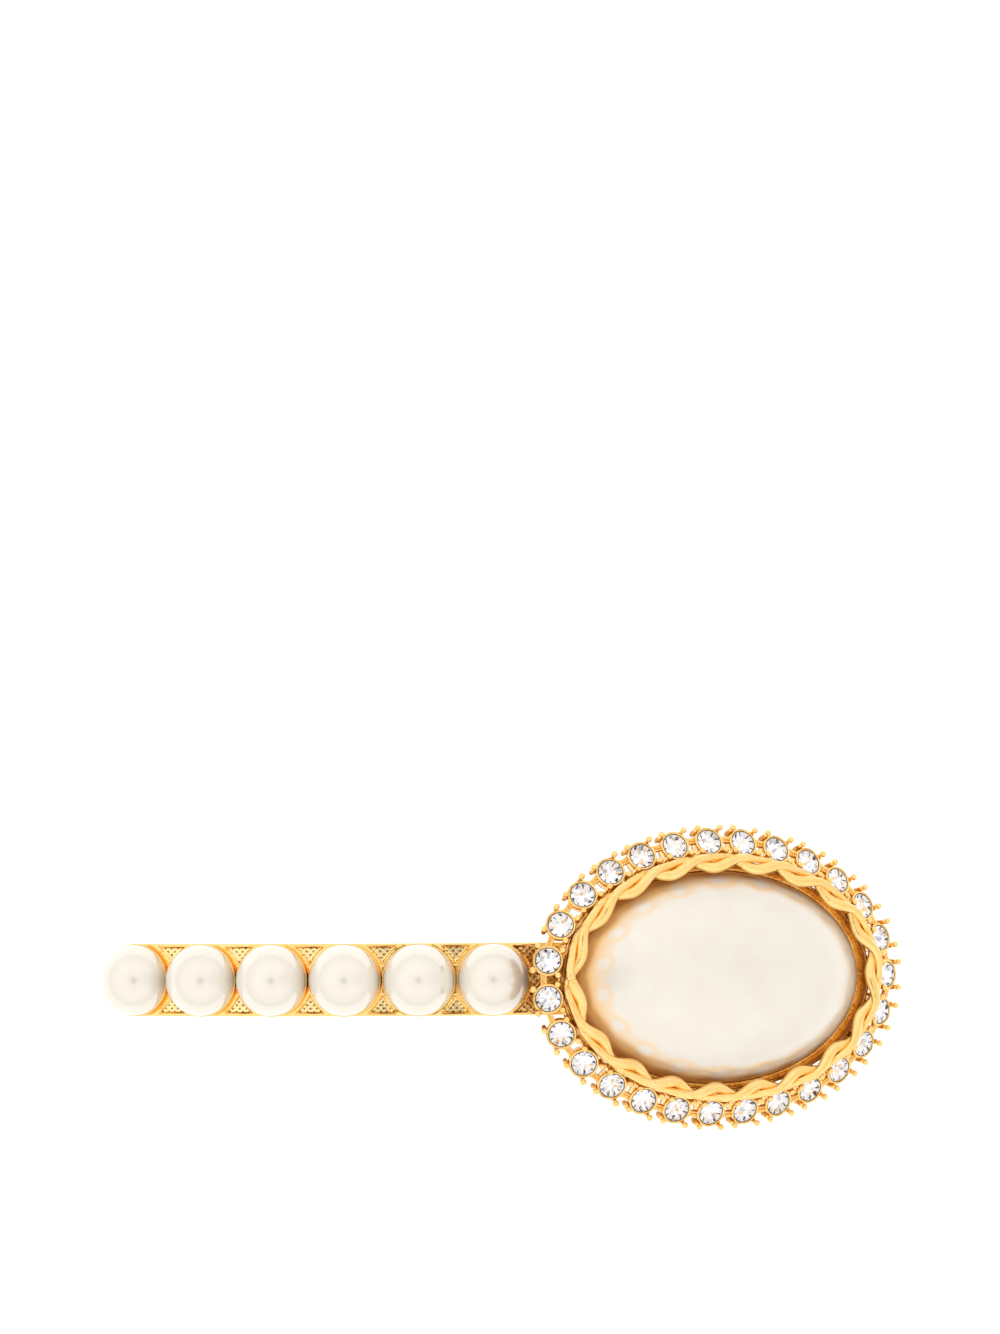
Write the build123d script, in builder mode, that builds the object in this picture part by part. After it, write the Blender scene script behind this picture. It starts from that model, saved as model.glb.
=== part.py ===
from build123d import *
import os
from math import cos, degrees, pi, radians, sin

# Barrette: a curved gilt bar with six half-round pearls, an oval pearl medallion in a halo
# of crystals, and a sprung hair clip underneath.  Millimetres.
# The bar is an arc about a centre line along Y.  Places along it are given as the distance
# along the bar's outward face, measured from the middle, with +X towards the medallion.

# Bar
front_radius = 72.0
bar_width = 8.0
bar_thickness = 1.2
panel_depth = 0.25
border_width = 0.4
bar_corner = 0.5
bar_end_margin = 1.5
bar_under_medallion = 9.0

# Half-round pearls in cups
pearl_count = 6
pearl_radius = 3.92
pearl_side_height = 0.65
cup_clearance = 0.02
cup_wall = 0.1
cup_floor = 0.35
cup_rim_height = 0.95
cup_gap = 0.12
seat_height = 0.1
seat_ring_width = 0.36

# Medallion
medallion_place = 31.34
pearl_to_halo = 3.67
halo_half_length = 21.0
halo_half_width = 14.98
stone_count = 27
stone_radius = 1.4
stone_height = 3.0
stone_tilt = 25.3
stone_sides = 12
table_ratio = 0.58
crown_height = 0.45
pavilion_depth = 0.95
culet_ratio = 0.15
stone_clearance = 0.02
collar_wall = 0.28
collar_height = 0.14
setting_depth = 1.75
setting_foot_radius = 1.5
setting_floor = 0.5
prong_reach = 1.97
prong_radius = 0.3
prong_top = 0.65
prong_foot = 1.3
ball_radius = 0.4
link_width = 0.75
link_thickness = 0.5
link_outward = 0.3
gallery_inset = 1.7
gallery_height = 1.1
gallery_clearance = 0.05
saddle_length = 10.0
saddle_width = 7.0
saddle_height = 0.5
plate_thickness = 0.8
bezel_wall = 0.7
bezel_height = 2.7
pearl_fit = 0.05
oval_half_length = 17.6
oval_half_width = 11.7
oval_girdle = 0.6
oval_dome = 6.0
dome_latitudes = (0, 15, 30, 45, 60, 72, 82, 88)

# Twisted rim round the oval pearl
rim_half_turns = 19
strand_radius = 0.4
strand_swing = 0.55
strand_rise = 0.48
rim_overhang = 0.1
points_per_half_turn = 4

# Clip
base_thickness = 0.7
base_width = 7.0
hinge_from_end = 2.2
hinge_drop = 3.5
ear_radius = 1.7
ear_thickness = 0.6
ear_gap = 0.25
pin_radius = 0.6
pin_head_radius = 0.9
pin_head = 0.3
pin_fit = 0.03
knuckle_clearance = 0.06
knuckle_wall = 0.6
arm_width = 5.0
arm_thickness = 0.8
arm_middle_gap = 7.6
foot_length = 2.6
foot_drop = 1.6
foot_slope = 0.7
window_length = 4.2
window_width = 3.6
window_wall = 1.1
catch_from_end = 3.0
catch_depth = 6.1
catch_plate_thickness = 0.5
catch_plate_length = 8.5
catch_plate_width = 4.4
wing_thickness = 0.5
wing_clearance = 0.2
wing_root_gap = 0.07
barb_overhang = 0.4
barb_height = 1.0
barb_clearance = 0.1
tab_reach = 1.7
tab_height = 2.0
tab_length = 2.6
bow_thickness = 0.35
bow_width = 4.2
bow_drop = 2.6
bow_foot_length = 3.0
bow_from_hinge = 3.2
rivet_radius = 0.6
rivet_head_radius = 0.95
rivet_head = 0.4
rivet_fit = 0.02

# Worked-out sizes
cup_radius = pearl_radius + cup_clearance + cup_wall
rim_level = front_radius + seat_height + cup_rim_height
pearl_pitch = (2 * cup_radius + cup_gap) * front_radius / rim_level
last_pearl_place = medallion_place - halo_half_length - pearl_to_halo
first_pearl_place = last_pearl_place - (pearl_count - 1) * pearl_pitch
bar_start = first_pearl_place - bar_end_margin
bar_end = medallion_place + bar_under_medallion
bar_back = front_radius - bar_thickness
base_inner = bar_back - base_thickness
plate_level = saddle_height + plate_thickness
rim_height = plate_level + bezel_height + strand_rise + strand_radius
bezel_half_length = oval_half_length + pearl_fit
bezel_half_width = oval_half_width + pearl_fit
gallery_half_length = halo_half_length - gallery_inset
gallery_half_width = halo_half_width - gallery_inset
rim_half_length = bezel_half_length + bezel_wall + rim_overhang
rim_half_width = bezel_half_width + bezel_wall + rim_overhang

piece_list = []


def arc_point(place, radius):
    angle = place / front_radius
    return (radius * sin(angle), radius * cos(angle))


def arc_plane(place, radius):
    angle = place / front_radius
    across, up = arc_point(place, radius)
    return Plane(
        origin=(across, 0, up),
        x_dir=(cos(angle), 0, -sin(angle)),
        z_dir=(sin(angle), 0, cos(angle)),
    )


def section_spot(place, radius):
    # a spot in the side view, turned so that its Y axis points outward from the arc's centre
    across, up = arc_point(place, radius)
    return Location((across, up, 0), (0, 0, -degrees(place / front_radius)))


def finish(piece, label):
    piece.part.label = label
    piece_list.append(piece.part)


def arc_strip(inner, outer, start, end):
    # side view of a strip bent to the bar's curve, drawn in the sketch that is open
    with BuildLine(Plane.XY) as outline:
        upper = CenterArc((0, 0), outer, 90 - degrees(end / front_radius), degrees((end - start) / front_radius))
        lower = CenterArc((0, 0), inner, 90 - degrees(end / front_radius), degrees((end - start) / front_radius))
        Line(upper @ 0, lower @ 0)
        Line(upper @ 1, lower @ 1)
    make_face(outline.edges())


# ---- front bar: sunk panels between raised borders and pearl seats ----
pearl_places = [first_pearl_place + pearl_pitch * index for index in range(pearl_count)]
panel_floor = front_radius - panel_depth

with BuildPart() as front_bar:
    with BuildSketch(Plane.XZ):
        arc_strip(bar_back, panel_floor, bar_start, bar_end)
    extrude(amount=bar_width / 2, both=True)
    for side in (-1, 1):
        with BuildSketch(Plane.XZ.offset(side * (bar_width - border_width) / 2)):
            arc_strip(bar_back, front_radius, bar_start, bar_end)
        extrude(amount=border_width / 2, both=True)
    for place in pearl_places:
        with BuildSketch(arc_plane(place, panel_floor - panel_depth)):
            Circle(cup_radius + seat_ring_width)
            Rectangle(3 * bar_width, bar_width, mode=Mode.INTERSECT)
        extrude(amount=2 * panel_depth + seat_height)
    for place in pearl_places:
        with BuildSketch(arc_plane(place, front_radius + seat_height)):
            Circle(cup_radius + cup_clearance)
        extrude(amount=panel_depth, mode=Mode.SUBTRACT)
    end_plane = arc_plane(bar_start, front_radius)
    split(bisect_by=Plane(origin=end_plane.origin, z_dir=end_plane.x_dir), keep=Keep.TOP)
    end_edges = front_bar.edges().filter_by(lambda edge: edge.length > bar_thickness / 2)
    corner_edges = end_edges.filter_by(Axis(end_plane.origin, end_plane.z_dir))
    fillet(corner_edges, bar_corner)
finish(front_bar, "front_bar")

# ---- half-round pearls, each glued in a cup that is soldered to its seat ----
for index, place in enumerate(pearl_places, start=1):
    seat = arc_plane(place, front_radius + seat_height)
    side_view = Plane(origin=seat.origin, x_dir=seat.x_dir, z_dir=seat.y_dir * -1)

    with BuildPart() as pearl_cup:
        with BuildSketch(side_view):
            with BuildLine():
                Polyline(
                    (0, 0),
                    (cup_radius - cup_wall, 0),
                    (cup_radius, cup_rim_height),
                    (cup_radius - cup_wall, cup_rim_height),
                    (cup_radius - cup_wall, cup_floor),
                    (0, cup_floor),
                    close=True,
                )
            make_face()
        revolve(axis=Axis(seat.origin, seat.z_dir))
    finish(pearl_cup, f"pearl_cup_{index}")

    with BuildPart() as pearl:
        with BuildSketch(side_view.shift_origin(seat.origin + seat.z_dir * cup_floor)):
            with BuildLine():
                Line((0, 0), (pearl_radius, 0))
                Line((pearl_radius, 0), (pearl_radius, pearl_side_height))
                CenterArc((0, pearl_side_height), pearl_radius, 0, 90)
                Line((0, pearl_side_height + pearl_radius), (0, 0))
            make_face()
        revolve(axis=Axis(seat.origin, seat.z_dir))
    finish(pearl, f"pearl_{index}")

# ---- medallion: a flat oval plate on a saddle shaped to the bar ----
medallion = arc_plane(medallion_place, front_radius)

with BuildPart() as saddle:
    with BuildSketch(medallion.offset(-panel_depth)):
        Rectangle(saddle_length, saddle_width)
    extrude(amount=saddle_height + panel_depth)
    with BuildSketch(Plane.XZ):
        Circle(panel_floor)
    extrude(amount=saddle_width, both=True, mode=Mode.SUBTRACT)
finish(saddle, "medallion_saddle")

with BuildPart() as back_plate:
    with BuildSketch(medallion.offset(saddle_height)):
        Ellipse(gallery_half_length, gallery_half_width)
    extrude(amount=plate_thickness)
finish(back_plate, "medallion_back_plate")

with BuildPart() as bezel:
    with BuildSketch(medallion.offset(plate_level)):
        Ellipse(bezel_half_length + bezel_wall, bezel_half_width + bezel_wall)
        Ellipse(bezel_half_length, bezel_half_width, mode=Mode.SUBTRACT)
    extrude(amount=bezel_height)
finish(bezel, "oval_bezel")

with BuildPart() as oval_pearl:
    with BuildSketch(medallion.offset(plate_level)):
        Ellipse(oval_half_length, oval_half_width)
    extrude(amount=oval_girdle)
    for latitude in dome_latitudes:
        shrink = cos(radians(latitude))
        rise = oval_girdle + oval_dome * sin(radians(latitude))
        with BuildSketch(medallion.offset(plate_level + rise)):
            Ellipse(oval_half_length * shrink, oval_half_width * shrink)
    loft()
finish(oval_pearl, "oval_pearl")

# ---- twisted rim: two wires wound about each other, an odd number of half turns round the
# oval, so each wire runs on into the other where they meet ----
with BuildLine(medallion.offset(rim_height)) as rim_line:
    EllipticalCenterArc((0, 0), rim_half_length, rim_half_width, start_angle=0, arc_size=360)
rim_edge = rim_line.edge()

rim_steps = rim_half_turns * points_per_half_turn
for strand in range(2):
    strand_points = []
    for step in range(rim_steps + 1):
        share = step / rim_steps
        turn = pi * (rim_half_turns * share + strand + 0.5)
        spot = rim_edge @ ((0.5 + share) % 1)
        outward = (rim_edge % ((0.5 + share) % 1)).cross(medallion.z_dir)
        strand_points.append(spot + outward * strand_swing * cos(turn) + medallion.z_dir * strand_rise * sin(turn))

    with BuildPart() as rim_strand:
        with BuildLine() as strand_line:
            Spline(*strand_points)
        start_plane = Plane(origin=strand_line.line @ 0, z_dir=strand_line.line % 0)
        with BuildSketch(start_plane):
            Circle(strand_radius)
        sweep()
    finish(rim_strand, f"rim_strand_{strand + 1}")

# ---- crystal halo: one casting of linked cups with ball-tipped prongs ----
with BuildLine(medallion.offset(stone_height)) as halo_line:
    EllipticalCenterArc((0, 0), halo_half_length, halo_half_width, start_angle=0, arc_size=360)
halo_edge = halo_line.edge()


def halo_plane(share):
    # X along the halo, Z leaning outward by the stones' tilt
    along = halo_edge % share
    outward = along.cross(medallion.z_dir)
    facing = medallion.z_dir * cos(radians(stone_tilt)) + outward * sin(radians(stone_tilt))
    return Plane(origin=halo_edge @ share, x_dir=along, z_dir=facing)


stone_planes = [halo_plane(index / stone_count) for index in range(stone_count)]
link_planes = [halo_plane((index + 0.5) / stone_count) for index in range(stone_count)]
stone_pitch = halo_edge.length / stone_count
collar_radius = stone_radius + stone_clearance + collar_wall

with BuildPart() as setting:
    with BuildSketch(Plane.XZ):
        with BuildLine():
            Polyline(
                (0, -setting_depth),
                (setting_foot_radius, -setting_depth),
                (collar_radius, -setting_depth / 3),
                (collar_radius, collar_height),
                (stone_radius + stone_clearance, collar_height),
                (stone_radius + stone_clearance, 0),
                (stone_radius * culet_ratio + stone_clearance, -pavilion_depth - stone_clearance),
                (0, -setting_depth + setting_floor),
                close=True,
            )
        make_face()
    revolve(axis=Axis.Z)
    with BuildSketch(Plane.XY.offset(-prong_foot)):
        with PolarLocations(prong_reach, 4, start_angle=45):
            Circle(prong_radius)
    extrude(amount=prong_foot + prong_top)
    with Locations(Plane.XY.offset(prong_top)):
        with PolarLocations(prong_reach, 4, start_angle=45):
            Sphere(ball_radius)
    with BuildSketch(Plane.XY):
        Circle(stone_radius + stone_clearance)
    extrude(amount=prong_top, mode=Mode.SUBTRACT)

with BuildPart() as halo:
    with BuildSketch(medallion.offset(plate_level)):
        Ellipse(gallery_half_length, gallery_half_width)
        Ellipse(
            bezel_half_length + bezel_wall + gallery_clearance,
            bezel_half_width + bezel_wall + gallery_clearance,
            mode=Mode.SUBTRACT,
        )
    extrude(amount=gallery_height)
    for plane in stone_planes:
        add(plane * setting.part)
    for plane in link_planes:
        with BuildSketch(plane.offset(-link_thickness)):
            with Locations((0, -link_outward)):
                Rectangle(stone_pitch - 2 * stone_radius - collar_wall, link_width)
        extrude(amount=link_thickness)
finish(halo, "halo_setting")

for index, plane in enumerate(stone_planes, start=1):
    with BuildPart() as crystal:
        with BuildSketch(plane):
            RegularPolygon(stone_radius, stone_sides)
        with BuildSketch(plane.offset(crown_height)):
            RegularPolygon(stone_radius * table_ratio, stone_sides)
        loft(ruled=True)
        with BuildSketch(plane.offset(-pavilion_depth)):
            RegularPolygon(stone_radius * culet_ratio, stone_sides)
        with BuildSketch(plane):
            RegularPolygon(stone_radius, stone_sides)
        loft(ruled=True)
    finish(crystal, f"crystal_{index:02d}")

# ---- clip base: a strip under the bar with two hinge ears at the medallion end ----
hinge_place = bar_end - hinge_from_end
hinge_spot = arc_point(hinge_place, base_inner - hinge_drop)
ear_inner = arm_width / 2 + ear_gap
catch_rivet_place = bar_start + catch_from_end + catch_plate_length / 4
bow_rivet_place = hinge_place - bow_from_hinge - bow_foot_length / 2
rivet_planes = [arc_plane(place, base_inner) for place in (catch_rivet_place, bow_rivet_place)]

with BuildPart() as clip_base:
    with BuildSketch(Plane.XZ):
        arc_strip(base_inner, bar_back, bar_start, bar_end)
    extrude(amount=base_width / 2, both=True)
    for side in (-1, 1):
        with BuildSketch(Plane.XZ.offset(side * (ear_inner + ear_thickness / 2))):
            with Locations(hinge_spot):
                Circle(ear_radius)
            with Locations(section_spot(hinge_place, base_inner + base_thickness / 4)):
                Rectangle(2 * ear_radius, base_thickness / 2)
            make_hull()
            with Locations(hinge_spot):
                Circle(pin_radius + pin_fit, mode=Mode.SUBTRACT)
        extrude(amount=ear_thickness / 2, both=True)
    with Locations(*rivet_planes):
        Cylinder(rivet_radius + rivet_fit, 4 * base_thickness, mode=Mode.SUBTRACT)
finish(clip_base, "clip_base")

with BuildPart() as hinge_pin:
    with BuildSketch(Plane.XZ):
        with Locations(hinge_spot):
            Circle(pin_radius)
    extrude(amount=ear_inner + ear_thickness + pin_head, both=True)
    for side in (-1, 1):
        with BuildSketch(Plane.XZ.offset(side * (ear_inner + ear_thickness + pin_head / 2))):
            with Locations(hinge_spot):
                Circle(pin_head_radius)
        extrude(amount=pin_head / 2, both=True)
finish(hinge_pin, "hinge_pin")

# ---- clip arm: rolled round the pin, arched under the hair, with a latch window and a foot ----
catch_x, catch_z = arc_point(bar_start + catch_from_end + catch_plate_length / 2, base_inner)
window_right = catch_x + window_length / 2
window_left = catch_x - window_length / 2
arm_level = catch_z - catch_depth - arm_thickness / 2
tip_x = window_left - window_wall
foot_level = arm_level - foot_drop
foot_tip_x = tip_x - foot_slope - foot_length
middle_x = (window_right + hinge_spot[0]) / 2
middle_z = base_inner * cos(middle_x / base_inner) - arm_middle_gap - arm_thickness / 2
bore_radius = pin_radius + knuckle_clearance
knuckle_radius = bore_radius + knuckle_wall

with BuildPart() as clip_arm:
    with BuildSketch(Plane.XZ):
        with BuildLine():
            shoulder = (hinge_spot[0], hinge_spot[1] + knuckle_radius - arm_thickness / 2)
            bend = (window_right + window_wall, arm_level)
            ThreePointArc(shoulder, (middle_x, middle_z), bend)
            Line(bend, (tip_x, arm_level))
            Line((tip_x, arm_level), (tip_x - foot_slope, foot_level))
            Line((tip_x - foot_slope, foot_level), (foot_tip_x, foot_level))
            offset(amount=arm_thickness / 2)
        make_face()
        with Locations(hinge_spot):
            Circle(knuckle_radius)
            Circle(bore_radius, mode=Mode.SUBTRACT)
    extrude(amount=arm_width / 2, both=True)
    with BuildSketch(Plane.XY.offset(arm_level)):
        with Locations((catch_x, 0)):
            RectangleRounded(window_length, window_width, wing_clearance)
    extrude(amount=arm_thickness, both=True, mode=Mode.SUBTRACT)
finish(clip_arm, "clip_arm")

# ---- catch: a plate riveted to the base, with two springy wings that latch the window ----
with BuildPart() as catch_plate:
    with BuildSketch(Plane.XZ):
        arc_strip(
            base_inner - catch_plate_thickness,
            base_inner,
            bar_start + catch_from_end - wing_clearance,
            bar_start + catch_from_end + catch_plate_length,
        )
    extrude(amount=catch_plate_width / 2, both=True)
    with Locations(rivet_planes[0]):
        Cylinder(rivet_radius + rivet_fit, 4 * base_thickness, mode=Mode.SUBTRACT)
finish(catch_plate, "catch_plate")

wing_outer = window_width / 2 - wing_clearance
wing_root = base_inner - catch_plate_thickness - wing_root_gap
wing_left = window_left + wing_clearance
wing_right = window_right - wing_clearance
barb_top = arm_level - arm_thickness / 2 - barb_clearance
root_start = arc_point(bar_start + catch_from_end, wing_root)
root_end = arc_point(bar_start + catch_from_end + catch_plate_length, wing_root)
tab_top = root_start[1] - tab_height / 4
tab_left = wing_left - tab_length

for side, name in ((1, "left"), (-1, "right")):
    with BuildPart() as wing:
        with BuildSketch(Plane.XZ.offset(-side * (wing_outer - wing_thickness / 2))):
            with BuildLine():
                Polyline(
                    root_start,
                    root_end,
                    (wing_right, root_end[1] - tab_height),
                    (wing_right, barb_top - barb_height),
                    (wing_left, barb_top - barb_height),
                    (wing_left, tab_top - tab_height),
                    (tab_left, tab_top - tab_height),
                    (tab_left, tab_top),
                    close=True,
                )
            make_face()
        extrude(amount=wing_thickness / 2, both=True)
        with BuildSketch(Plane.YZ.offset(wing_left)):
            with BuildLine():
                Polyline(
                    (side * wing_outer, barb_top),
                    (side * (window_width / 2 + barb_overhang), barb_top),
                    (side * wing_outer, barb_top - barb_height),
                    close=True,
                )
            make_face()
        extrude(amount=wing_right - wing_left)
        with BuildSketch(Plane.YZ.offset(tab_left)):
            with Locations((side * (wing_outer + tab_reach / 2 - wing_thickness), tab_top - tab_height / 2)):
                Rectangle(tab_reach + wing_thickness, tab_height)
        extrude(amount=wing_thickness)
    finish(wing, f"catch_wing_{name}")

# ---- bow spring: a leaf riveted by the hinge, resting on the base short of the catch ----
bow_radius = base_inner - bow_thickness / 2
bow_right = hinge_place - bow_from_hinge
bow_left = bar_start + catch_from_end + catch_plate_length + bow_foot_length / 2
bow_middle_x = (arc_point(bow_left, bow_radius)[0] + arc_point(bow_right, bow_radius)[0]) / 2
bow_middle = (bow_middle_x, base_inner * cos(bow_middle_x / base_inner) - bow_drop)

with BuildPart() as bow_spring:
    with BuildSketch(Plane.XZ):
        with BuildLine():
            foot_angle = degrees(bow_foot_length / front_radius)
            right_foot = CenterArc((0, 0), bow_radius, 90 - degrees(bow_right / front_radius), foot_angle)
            left_foot = CenterArc((0, 0), bow_radius, 90 - degrees(bow_left / front_radius), -foot_angle)
            ThreePointArc(right_foot @ 1, bow_middle, left_foot @ 1)
            offset(amount=bow_thickness / 2)
        make_face()
    extrude(amount=bow_width / 2, both=True)
    with Locations(rivet_planes[1]):
        Cylinder(rivet_radius + rivet_fit, 4 * base_thickness, mode=Mode.SUBTRACT)
finish(bow_spring, "bow_spring")

for plane, stack, name in (
    (rivet_planes[0], catch_plate_thickness, "catch_rivet"),
    (rivet_planes[1], bow_thickness, "bow_rivet"),
):
    with BuildPart() as rivet:
        with BuildSketch(plane.offset(base_thickness - 2 * rivet_fit)):
            Circle(rivet_radius)
        extrude(amount=-base_thickness - stack)
        with BuildSketch(plane.offset(-stack)):
            Circle(rivet_head_radius)
        extrude(amount=-rivet_head, taper=30)
    finish(rivet, name)

# ---- place the whole object: origin under the middle of its box, at its lowest face ----
low_corners = [piece.bounding_box().min for piece in piece_list]
high_corners = [piece.bounding_box().max for piece in piece_list]
low_x = min(corner.X for corner in low_corners)
high_x = max(corner.X for corner in high_corners)
low_z = min(corner.Z for corner in low_corners)
to_origin = Location((-(low_x + high_x) / 2, 0, -low_z))

os.makedirs("parts", exist_ok=True)
for piece in piece_list:
    placed = piece.moved(to_origin)
    placed.label = piece.label
    export_step(placed, f"parts/{piece.label}.step")


def report(name, spot):
    print(name, tuple(round(value, 4) for value in (to_origin.position + Vector(*spot))))


print("shift", to_origin.position)
report("hinge", (hinge_spot[0], 0, hinge_spot[1]))
report("wing root start", (root_start[0], wing_outer - wing_thickness / 2, root_start[1]))
report("wing root end", (root_end[0], wing_outer - wing_thickness / 2, root_end[1]))
report("foot bottom", (foot_tip_x + foot_length / 2, 0, foot_level - arm_thickness / 2))
report("arm middle top", (middle_x, 0, middle_z + arm_thickness / 2))
report("bow middle bottom", (bow_middle[0], 0, bow_middle[1] - bow_thickness / 2))
report("medallion centre", tuple(medallion.origin))
report("arc centre", (0, 0, 0))
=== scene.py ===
import math
import random
import bmesh
import bpy
from mathutils import Matrix, Vector, noise


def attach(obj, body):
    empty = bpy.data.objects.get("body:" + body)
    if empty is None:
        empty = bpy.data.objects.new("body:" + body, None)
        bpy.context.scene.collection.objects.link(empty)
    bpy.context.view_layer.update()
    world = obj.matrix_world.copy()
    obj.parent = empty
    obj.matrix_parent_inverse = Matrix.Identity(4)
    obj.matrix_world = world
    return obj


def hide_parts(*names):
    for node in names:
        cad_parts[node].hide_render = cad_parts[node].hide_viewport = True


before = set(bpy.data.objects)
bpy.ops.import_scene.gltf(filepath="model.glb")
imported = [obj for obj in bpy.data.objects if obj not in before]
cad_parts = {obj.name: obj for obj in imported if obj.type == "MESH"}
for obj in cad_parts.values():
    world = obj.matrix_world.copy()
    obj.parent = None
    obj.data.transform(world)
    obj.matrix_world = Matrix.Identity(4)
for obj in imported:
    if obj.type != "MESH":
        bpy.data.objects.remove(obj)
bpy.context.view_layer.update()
print("frame loaded:", len(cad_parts), "nodes")

mm = 0.001
tau = 2 * math.pi

# the bar's arc, and how the pearls and the medallion stand on it, in millimetres
layout = {
    "arcX": -7.7605, "arcZ": -55.7723, "faceRadius": 72.0,
    "pearlCount": 6, "firstPearl": -33.7405, "pearlPitch": 8.0821,
    "barStart": -35.2405, "barEnd": 40.34, "seatHeight": 0.1,
    "medallionPlace": 31.34,
}


def arcMatrix(place, radius):
    # X along the bar, Y across, Z outward, at that distance along the arc
    angle = place / layout["faceRadius"]
    s, c = math.sin(angle), math.cos(angle)
    return Matrix((
        (c, 0, s, layout["arcX"] + radius * s),
        (0, 1, 0, 0),
        (-s, 0, c, layout["arcZ"] + radius * c),
        (0, 0, 0, 1),
    ))


medallion = arcMatrix(layout["medallionPlace"], layout["faceRadius"])


class Shape:
    # vertices in millimetres in the row frame, and faces, gathered before one mesh is made
    def __init__(self):
        self.verts = []
        self.faces = []
        self.tones = []

    def add(self, verts, faces, place=None, tone=0):
        start = len(self.verts)
        self.verts += [place @ Vector(v) if place else Vector(v) for v in verts]
        self.faces += [[start + i for i in face] for face in faces]
        self.tones += [tone] * len(faces)

    def grid(self, rows, closedRows=False, closedRing=True, place=None, tone=0,
             capStart=False, capEnd=False):
        # rows of equal length, skinned to each other
        verts = [v for row in rows for v in row]
        n = len(rows[0])
        faces = []
        rowCount = len(rows) if closedRows else len(rows) - 1
        ringCount = n if closedRing else n - 1
        for r in range(rowCount):
            below, above = r * n, ((r + 1) % len(rows)) * n
            for i in range(ringCount):
                j = (i + 1) % n
                faces.append((below + i, below + j, above + j, above + i))
        if capStart:
            faces.append(tuple(reversed(range(n))))
        if capEnd:
            faces.append(tuple((len(rows) - 1) * n + i for i in range(n)))
        self.add(verts, faces, place, tone)

    def lathe(self, profile, segments, place=None, tone=0, capStart=True, capEnd=True):
        # profile of (radius, height) from the bottom up, turned about Z
        rows = []
        for radius, height in profile:
            ring = [(radius * math.cos(tau * i / segments), radius * math.sin(tau * i / segments), height)
                    for i in range(segments)]
            rows.append(ring)
        self.grid(rows, place=place, tone=tone, capStart=capStart, capEnd=capEnd)

    def tube(self, path, radii, segments, up, place=None, tone=0, flat=None, groove=None, grooveCount=0):
        # round section carried along a path; flat gives (across, up) stretch at each point
        rows = []
        for i, point in enumerate(path):
            ahead = path[min(i + 1, len(path) - 1)] - path[max(i - 1, 0)]
            ahead.normalize()
            upward = up[i] if isinstance(up, list) else up
            across = ahead.cross(upward).normalized()
            rise = across.cross(ahead)
            wide, tall = flat[i] if flat else (1, 1)
            ring = []
            for k in range(segments):
                turn = tau * k / segments
                radius = radii[i] * (1 + (groove[i] * math.cos(grooveCount * turn) if groove else 0))
                ring.append(point + across * radius * wide * math.cos(turn)
                            + rise * radius * tall * math.sin(turn))
            rows.append(ring)
        self.grid(rows, place=place, tone=tone, capStart=True, capEnd=True)


def makePiece(name, shape, materials, body="barrette", nodes=(), smooth=True, sharpAngle=None):
    mesh = bpy.data.meshes.new(name)
    mesh.from_pydata([v * mm for v in shape.verts], [], shape.faces)
    for material in materials:
        mesh.materials.append(material)
    for polygon, tone in zip(mesh.polygons, shape.tones):
        polygon.material_index = tone
        polygon.use_smooth = smooth
    mesh.validate()
    clean = bmesh.new()
    clean.from_mesh(mesh)
    bmesh.ops.recalc_face_normals(clean, faces=clean.faces)
    clean.to_mesh(mesh)
    clean.free()
    if sharpAngle is not None:
        mesh.set_sharp_from_angle(angle=math.radians(sharpAngle))
    piece = bpy.data.objects.new(name, mesh)
    bpy.context.scene.collection.objects.link(piece)
    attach(piece, body)
    if nodes:
        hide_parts(*nodes)
    return piece


def ellipseTrack(halfLength, halfWidth, steps=7200):
    # points evenly spaced by distance round an ellipse, from its +X end
    angles = [tau * i / steps for i in range(steps + 1)]
    points = [(halfLength * math.cos(a), halfWidth * math.sin(a)) for a in angles]
    run = [0.0]
    for before, after in zip(points, points[1:]):
        run.append(run[-1] + math.dist(before, after))

    def at(share):
        goal = (share % 1) * run[-1]
        low, high = 0, steps
        while high - low > 1:
            middle = (low + high) // 2
            if run[middle] <= goal:
                low = middle
            else:
                high = middle
        part = (goal - run[low]) / (run[high] - run[low])
        angle = angles[low] + (angles[high] - angles[low]) * part
        spot = Vector((halfLength * math.cos(angle), halfWidth * math.sin(angle), 0))
        along = Vector((-halfLength * math.sin(angle), halfWidth * math.cos(angle), 0)).normalized()
        return spot, along, Vector((along.y, -along.x, 0))

    return at, run[-1]


# finishes

def startMaterial(name):
    material = bpy.data.materials.new(name)
    material.use_nodes = True
    tree = material.node_tree
    shader = tree.nodes["Principled BSDF"]
    where = tree.nodes.new("ShaderNodeTexCoord")
    scaled = tree.nodes.new("ShaderNodeVectorMath")
    scaled.operation = "SCALE"
    scaled.inputs["Scale"].default_value = 1000.0  # metres to millimetres
    tree.links.new(where.outputs["Object"], scaled.inputs[0])
    return material, tree, shader, scaled.outputs[0]


def noiseNode(tree, position, scale, detail=3.0, roughness=0.55):
    node = tree.nodes.new("ShaderNodeTexNoise")
    node.inputs["Scale"].default_value = scale
    node.inputs["Detail"].default_value = detail
    node.inputs["Roughness"].default_value = roughness
    tree.links.new(position, node.inputs["Vector"])
    return node.outputs["Fac"]


def rangeNode(tree, value, low, high, fromLow=0.3, fromHigh=0.7):
    node = tree.nodes.new("ShaderNodeMapRange")
    node.inputs["From Min"].default_value = fromLow
    node.inputs["From Max"].default_value = fromHigh
    node.inputs["To Min"].default_value = low
    node.inputs["To Max"].default_value = high
    tree.links.new(value, node.inputs["Value"])
    return node.outputs["Result"]


def mixColours(tree, share, first, second):
    node = tree.nodes.new("ShaderNodeMix")
    node.data_type = "RGBA"
    node.inputs["A"].default_value = (*first, 1)
    node.inputs["B"].default_value = (*second, 1)
    tree.links.new(share, node.inputs["Factor"])
    return node.outputs["Result"]


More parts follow.
